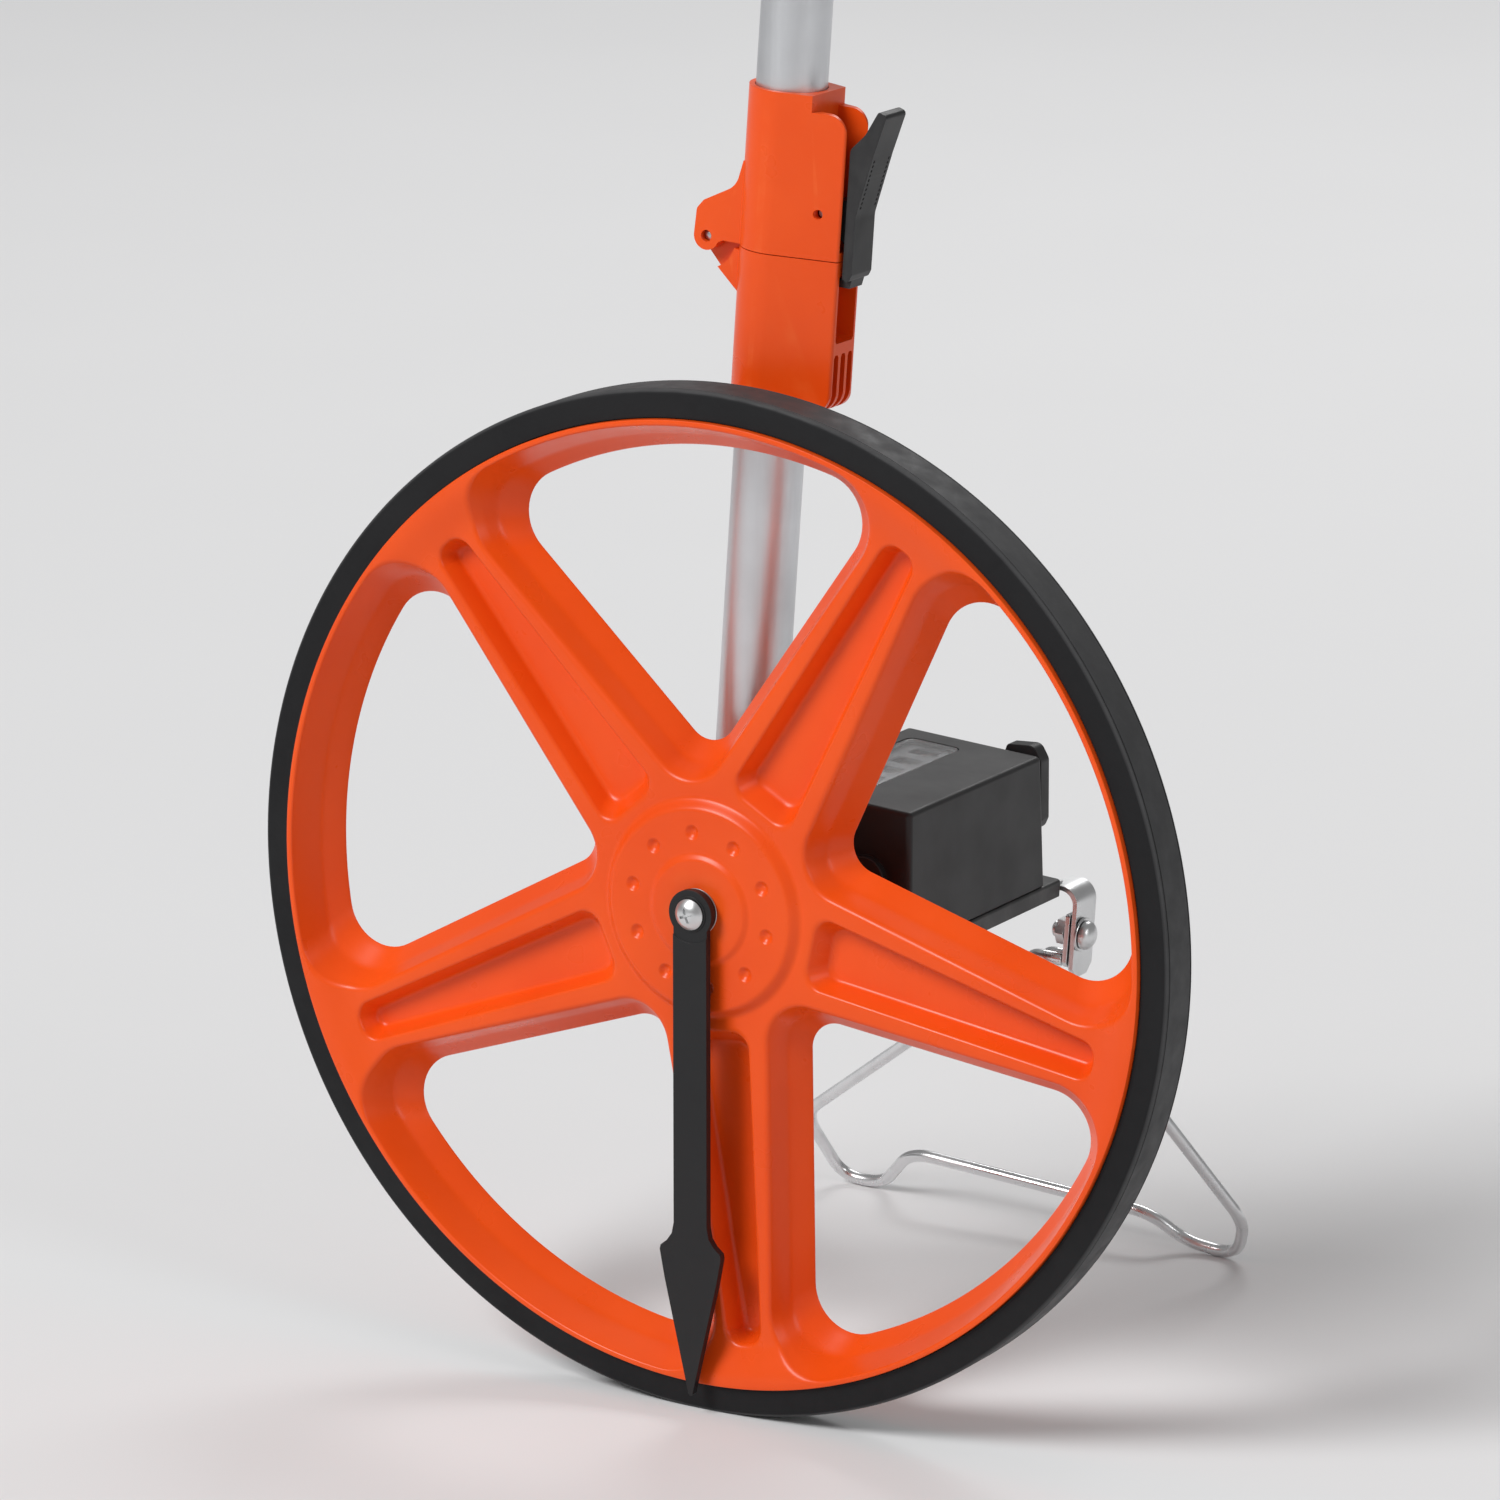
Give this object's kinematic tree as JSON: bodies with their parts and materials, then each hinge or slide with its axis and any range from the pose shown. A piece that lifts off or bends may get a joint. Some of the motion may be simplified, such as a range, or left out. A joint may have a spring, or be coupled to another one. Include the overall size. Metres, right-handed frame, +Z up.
{
  "type": "measuring wheel",
  "caption": "Folding distance-measuring wheel with a leaned pole, pistol grip, geared figure counter, hanging pointer and swing-out wire stand.",
  "frame": {"origin": "on the ground under the middle of the bounding box", "axes": "+Z up, +X the rolling direction the pole leans toward, +Y from the wheel toward the counter and stand"},
  "size_m": [0.3184, 0.233, 1.0352],
  "materials": {
    "steel": "plain",
    "plated": "bright zinc or chrome plate",
    "rivet": "satin",
    "tube": "satin anodised",
    "cast_black": "satin black",
    "black_sheet": "satin black",
    "black_plastic": "fine texture",
    "grip_plastic": "soft touch",
    "orange_plastic": "satin to gloss moulding",
    "white_plastic": "plain",
    "red_plastic": "plain",
    "bronze": "sintered",
    "lens": "clear",
    "mask": "silver print",
    "tyre": "matte rubber"
  },
  "bodies": {
    "frame": {"axle_bracket": "cast_black", "axle": "steel", "axle_grub_screw": "steel", "lower_tube": "tube", "pole_rivet": "rivet", "joint_lower": "orange_plastic", "tray": "black_sheet", "counter_case": "black_plastic", "window_mask": "mask", "window_lens": "lens", "case_screw_1": "steel", "case_screw_2": "steel", "case_screw_3": "steel", "case_screw_4": "steel", "foot_screw_1": "steel", "foot_screw_2": "steel", "stand_bracket": "plated", "bracket_rivet_1": "rivet", "bracket_rivet_2": "rivet", "stand_bolt": "plated", "stand_washer": "plated", "stand_nut": "plated", "carry_shaft": "steel", "pointer_screw": "plated", "pointer_washer": "steel"},
    "wheel": {"wheel_rim": "orange_plastic", "tyre": "tyre", "hub_bush": "bronze", "drive_gear": "white_plastic"},
    "pointer": {"pointer": "black_plastic"},
    "upper_pole": {"joint_upper": "orange_plastic", "upper_tube": "tube", "fold_pin": "steel", "latch_pin": "steel", "grip_shell_near": "grip_plastic", "grip_shell_far": "grip_plastic", "grip_screw_1": "steel", "grip_screw_2": "steel", "grip_screw_3": "steel"},
    "latch": {"latch_lever": "black_plastic"},
    "stand": {"stand_tab": "plated", "stand_wire": "plated"},
    "reset": {"reset_lever": "black_plastic"},
    "count_shaft": {"drum_shaft": "steel", "driven_gear": "white_plastic", "figure_drum_1": "red_plastic"},
    "drum_2": {"figure_drum_2": "white_plastic"},
    "drum_3": {"figure_drum_3": "white_plastic"},
    "drum_4": {"figure_drum_4": "white_plastic"},
    "drum_5": {"figure_drum_5": "white_plastic"},
    "pinion_1": {"carry_pinion_1": "white_plastic"},
    "pinion_2": {"carry_pinion_2": "white_plastic"},
    "pinion_3": {"carry_pinion_3": "white_plastic"},
    "pinion_4": {"carry_pinion_4": "white_plastic"}
  },
  "joints": [
    {"name": "wheel_spin", "type": "hinge", "parent": "frame", "child": "wheel", "pos_m": [0, -0.09914, 0.15915], "axis": [0, 1, 0], "continuous": true},
    {"name": "pointer_swing", "type": "hinge", "parent": "frame", "child": "pointer", "pos_m": [0, -0.11214, 0.15915], "axis": [0, 1, 0], "continuous": true},
    {"name": "handle_fold", "type": "hinge", "parent": "frame", "child": "upper_pole", "pos_m": [-0.01744, -0.06764, 0.35846], "axis": [0, -1, 0], "range_deg": [0, 180]},
    {"name": "latch_squeeze", "type": "hinge", "parent": "upper_pole", "child": "latch", "pos_m": [0.02177, -0.06764, 0.36875], "axis": [0, -1, 0], "range_deg": [0, 14]},
    {"name": "stand_fold", "type": "hinge", "parent": "frame", "child": "stand", "pos_m": [0.05353, 0.02686, 0.12754], "axis": [0.9976, 0, -0.0698], "range_deg": [0, 135]},
    {"name": "reset_press", "type": "hinge", "parent": "frame", "child": "reset", "pos_m": [0.04188, 0.01286, 0.17026], "axis": [0, -1, 0], "range_deg": [0, 20]},
    {"name": "count_shaft_spin", "type": "hinge", "parent": "frame", "child": "count_shaft", "pos_m": [0.01869, -0.03114, 0.17419], "axis": [0, 1, 0], "continuous": true},
    {"name": "drum_2_spin", "type": "hinge", "parent": "frame", "child": "drum_2", "pos_m": [0.01869, -0.04144, 0.17419], "axis": [0, 1, 0], "continuous": true},
    {"name": "drum_3_spin", "type": "hinge", "parent": "frame", "child": "drum_3", "pos_m": [0.01869, -0.03004, 0.17419], "axis": [0, 1, 0], "continuous": true},
    {"name": "drum_4_spin", "type": "hinge", "parent": "frame", "child": "drum_4", "pos_m": [0.01869, -0.01864, 0.17419], "axis": [0, 1, 0], "continuous": true},
    {"name": "drum_5_spin", "type": "hinge", "parent": "frame", "child": "drum_5", "pos_m": [0.01869, -0.00724, 0.17419], "axis": [0, 1, 0], "continuous": true},
    {"name": "pinion_1_spin", "type": "hinge", "parent": "frame", "child": "pinion_1", "pos_m": [0.03485, -0.04714, 0.17306], "axis": [0, 1, 0], "continuous": true},
    {"name": "pinion_2_spin", "type": "hinge", "parent": "frame", "child": "pinion_2", "pos_m": [0.03485, -0.03574, 0.17306], "axis": [0, 1, 0], "continuous": true},
    {"name": "pinion_3_spin", "type": "hinge", "parent": "frame", "child": "pinion_3", "pos_m": [0.03485, -0.02434, 0.17306], "axis": [0, 1, 0], "continuous": true},
    {"name": "pinion_4_spin", "type": "hinge", "parent": "frame", "child": "pinion_4", "pos_m": [0.03485, -0.01294, 0.17306], "axis": [0, 1, 0], "continuous": true}
  ],
  "couplings": [
    {"joint": "count_shaft_spin", "follows": "wheel_spin", "ratio": -1},
    {"joint": "drum_2_spin", "follows": "wheel_spin", "ratio": -0.1},
    {"joint": "drum_3_spin", "follows": "wheel_spin", "ratio": -0.01},
    {"joint": "drum_4_spin", "follows": "wheel_spin", "ratio": -0.001},
    {"joint": "drum_5_spin", "follows": "wheel_spin", "ratio": -0.0001},
    {"joint": "pinion_1_spin", "follows": "wheel_spin", "ratio": 0.33333},
    {"joint": "pinion_2_spin", "follows": "wheel_spin", "ratio": 0.033333},
    {"joint": "pinion_3_spin", "follows": "wheel_spin", "ratio": 0.0033333},
    {"joint": "pinion_4_spin", "follows": "wheel_spin", "ratio": 0.00033333}
  ]
}
